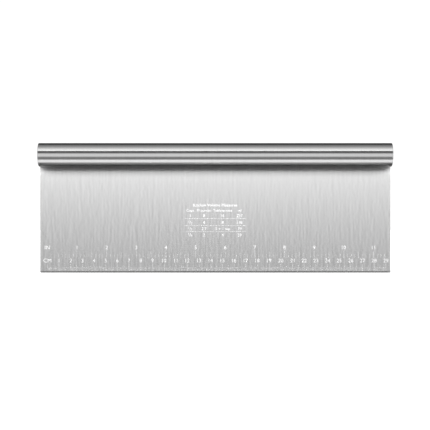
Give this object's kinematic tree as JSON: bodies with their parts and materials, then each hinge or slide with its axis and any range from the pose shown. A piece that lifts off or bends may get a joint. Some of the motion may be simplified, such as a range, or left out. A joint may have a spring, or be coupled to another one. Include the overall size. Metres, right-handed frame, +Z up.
{
  "type": "bench scraper",
  "caption": "Flat stainless steel scraper blade with a ruled lower edge, welded along its top into a round tubular handle.",
  "frame": {"origin": "under the middle of the scraping edge, on the plane that the edge touches", "axes": "+X along the blade's width, from the ruler's zero towards its high numbers; +Y through the blade's thickness, away from the marked face; +Z up from the scraping edge to the handle"},
  "size_m": [0.3026, 0.02, 0.111],
  "materials": {
    "blade_steel": "satin",
    "handle_steel": "satin",
    "cap_steel": "satin",
    "ground_weld": "satin",
    "weld_bead": "satin",
    "etched_marks": "matte"
  },
  "bodies": {
    "root": {"blade": "blade_steel", "handle_tube": "handle_steel", "right_end_cap": "cap_steel", "left_end_cap": "cap_steel", "right_cap_weld": "ground_weld", "left_cap_weld": "ground_weld", "seam_tack_welds": "weld_bead", "slot_end_welds": "weld_bead"}
  },
  "joints": []
}
